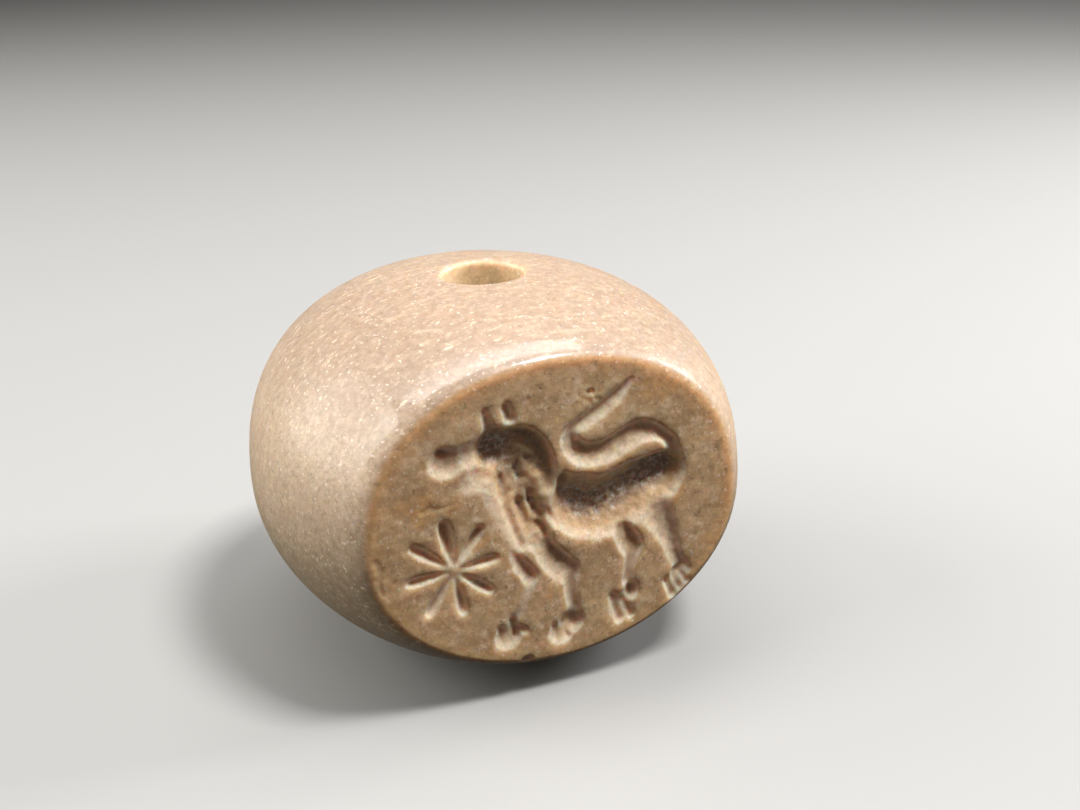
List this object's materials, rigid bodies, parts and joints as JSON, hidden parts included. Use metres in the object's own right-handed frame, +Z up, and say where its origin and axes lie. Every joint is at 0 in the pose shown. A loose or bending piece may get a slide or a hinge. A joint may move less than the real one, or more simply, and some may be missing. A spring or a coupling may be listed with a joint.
{
  "type": "stamp seal",
  "caption": "Egg-shaped stone bead seal with an upright string hole and a flat oval face engraved with a walking lion and a rayed star.",
  "frame": {"origin": "middle of the bead's own box, at the foot that it stands on", "axes": "+Z up along the string hole, -Y out of the engraved face, +X to the right of someone facing the engraving"},
  "size_m": [0.026, 0.025, 0.0199],
  "materials": {
    "stone": "fine-grained tan stone, softly polished and worn"
  },
  "bodies": {
    "root": {"seal_stone": "stone"}
  },
  "joints": []
}
